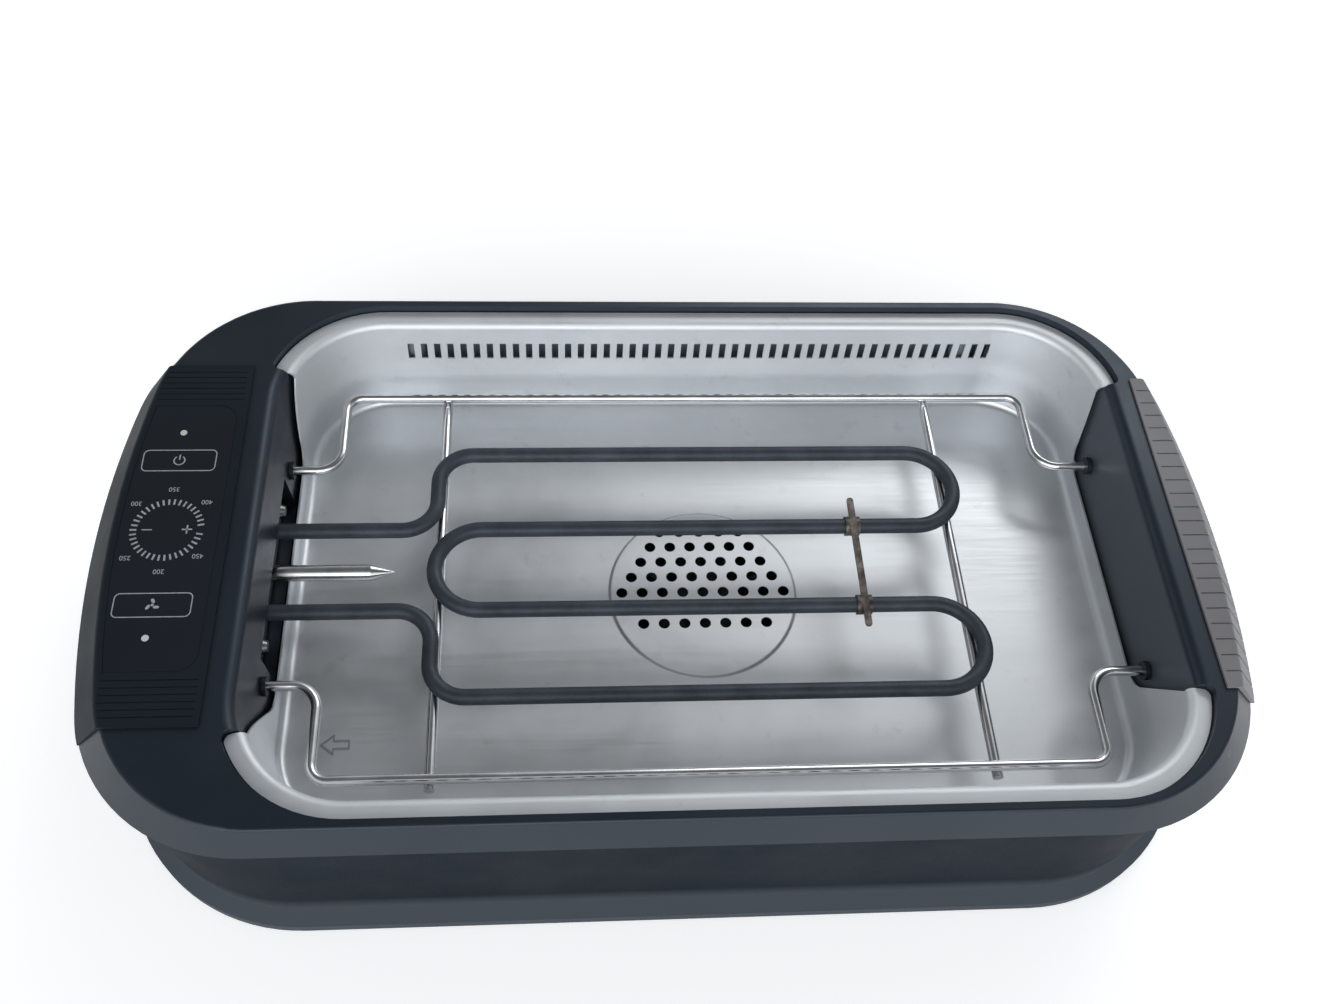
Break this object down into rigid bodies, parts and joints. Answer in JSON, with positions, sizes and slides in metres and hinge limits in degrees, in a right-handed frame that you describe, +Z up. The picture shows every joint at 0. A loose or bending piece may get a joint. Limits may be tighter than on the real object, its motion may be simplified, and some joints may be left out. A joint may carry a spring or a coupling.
{
  "type": "table grill base",
  "caption": "Low oval base of an electric smokeless table grill: steel tray, serpentine heating tube, wire rack, touch panel, end grip and a fan under a perforated disc",
  "frame": {"origin": "On the table under the middle of the base's bounding box", "axes": "+X runs lengthwise toward the ribbed grip, -X toward the touch panel, +Y toward the far long side, +Z up"},
  "size_m": [0.542, 0.301, 0.1198],
  "materials": {
    "shell_plastic": "satin",
    "panel_plastic": "satin",
    "grip_plastic": "satin",
    "overlay_film": "matte",
    "lens": "gloss",
    "stainless": "brushed",
    "element_sheath": "satin",
    "bright_wire": "polished",
    "bush_plastic": "matte",
    "clip_steel": "satin",
    "probe_steel": "polished",
    "screw_steel": "polished",
    "ceramic": "satin",
    "terminal_steel": "satin",
    "fan_plastic": "satin",
    "cover_plastic": "satin",
    "motor_steel": "satin",
    "zinc_sheet": "satin",
    "silicone": "matte",
    "board": "satin",
    "relay_case": "gloss",
    "coil_core": "satin",
    "block_plastic": "satin",
    "capacitor_sleeve": "gloss",
    "rubber": "matte"
  },
  "bodies": {
    "housing": {"upper_rim": "shell_plastic", "lower_base": "shell_plastic", "control_panel": "panel_plastic", "grip_cover": "grip_plastic", "touch_overlay": "overlay_film", "lamp_lens_power": "lens", "lamp_lens_fan": "lens", "tray_liner": "stainless", "heating_element": "element_sheath", "rack_wire_rear": "bright_wire", "rack_wire_front": "bright_wire", "rack_cross_left": "bright_wire", "rack_cross_right": "bright_wire", "rack_bushes": "bush_plastic", "element_clip": "clip_steel", "thermostat_probe": "probe_steel", "element_flange": "probe_steel", "flange_screws": "screw_steel", "case_screws": "screw_steel", "bracket_screws": "screw_steel", "shield_screws": "screw_steel", "board_screws": "screw_steel", "lead_bush_rear": "ceramic", "lead_bush_front": "ceramic", "probe_bush": "ceramic", "lead_terminal_rear": "terminal_steel", "lead_terminal_front": "terminal_steel", "fan_guard": "fan_plastic", "fan_motor": "motor_steel", "motor_bracket": "zinc_sheet", "heat_shield": "zinc_sheet", "tray_seal": "silicone", "power_board": "board", "touch_board": "board", "power_relay": "relay_case", "power_transformer": "coil_core", "terminal_block": "block_plastic", "power_capacitor": "capacitor_sleeve", "foot_front_left": "rubber", "foot_rear_left": "rubber", "foot_front_right": "rubber", "foot_rear_right": "rubber", "cord_gland": "rubber"},
    "rotor": {"fan_impeller": "fan_plastic", "fan_shaft": "probe_steel"},
    "cover": {"fan_cover": "cover_plastic"}
  },
  "joints": [
    {"name": "fan_spin", "type": "hinge", "parent": "housing", "child": "rotor", "pos_m": [0.01925, 0, 0.03], "axis": [0, 0, 1], "continuous": true},
    {"name": "fan_cover_twist", "type": "hinge", "parent": "housing", "child": "cover", "pos_m": [0.01925, 0, 0.005], "axis": [0, 0, 1], "range_deg": [0, 20]}
  ]
}
